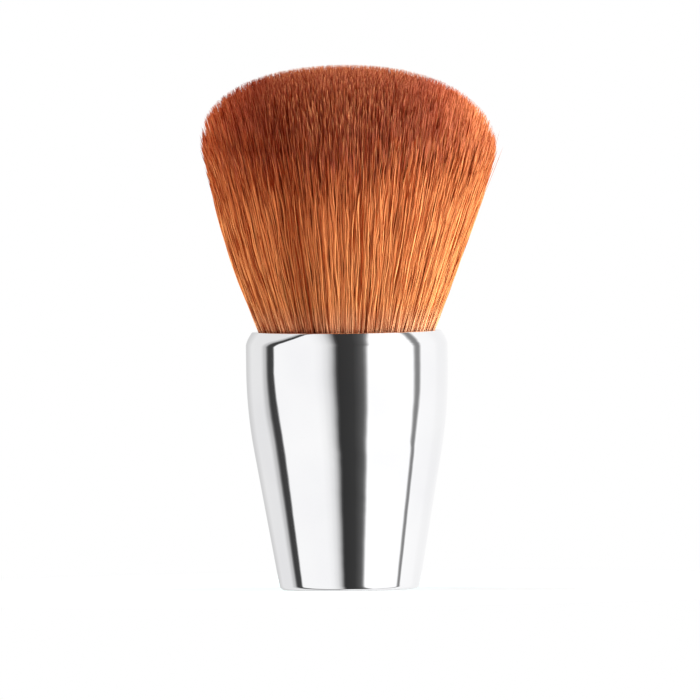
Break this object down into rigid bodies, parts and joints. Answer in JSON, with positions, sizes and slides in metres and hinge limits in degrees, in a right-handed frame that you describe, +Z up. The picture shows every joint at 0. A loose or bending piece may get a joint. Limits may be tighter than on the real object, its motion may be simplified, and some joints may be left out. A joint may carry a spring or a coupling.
{
  "type": "foundation brush",
  "caption": "Short stubby foundation brush with a dense round flared tuft, a shallow domed top and a tapering polished metal handle that stands on its small flat foot.",
  "frame": {"origin": "centre of the flat foot on which the brush stands", "axes": "+Z up the handle's axis, from the foot to the tips of the tuft; the brush is round, so X and Y are free"},
  "size_m": [0.0413, 0.0412, 0.0751],
  "materials": {
    "handle_metal": "mirror polished, bright plated",
    "foot_plate": "fine satin turning marks",
    "adhesive": "cured clear adhesive",
    "ballast_steel": "as turned",
    "plug_plastic": "moulded, fine texture",
    "ring_metal": "drawn tube, plain",
    "cast_resin": "cast, amber",
    "filament": "fine straight synthetic filament, silky, in two tones of orange brown"
  },
  "bodies": {
    "root": {"handle_shell": "handle_metal", "foot_disc": "foot_plate", "foot_adhesive": "adhesive", "ballast_slug": "ballast_steel", "core_plug": "plug_plastic", "knot_adhesive": "adhesive", "knot_ring": "ring_metal", "knot_resin": "cast_resin", "bristle_tuft": "filament"}
  },
  "joints": []
}
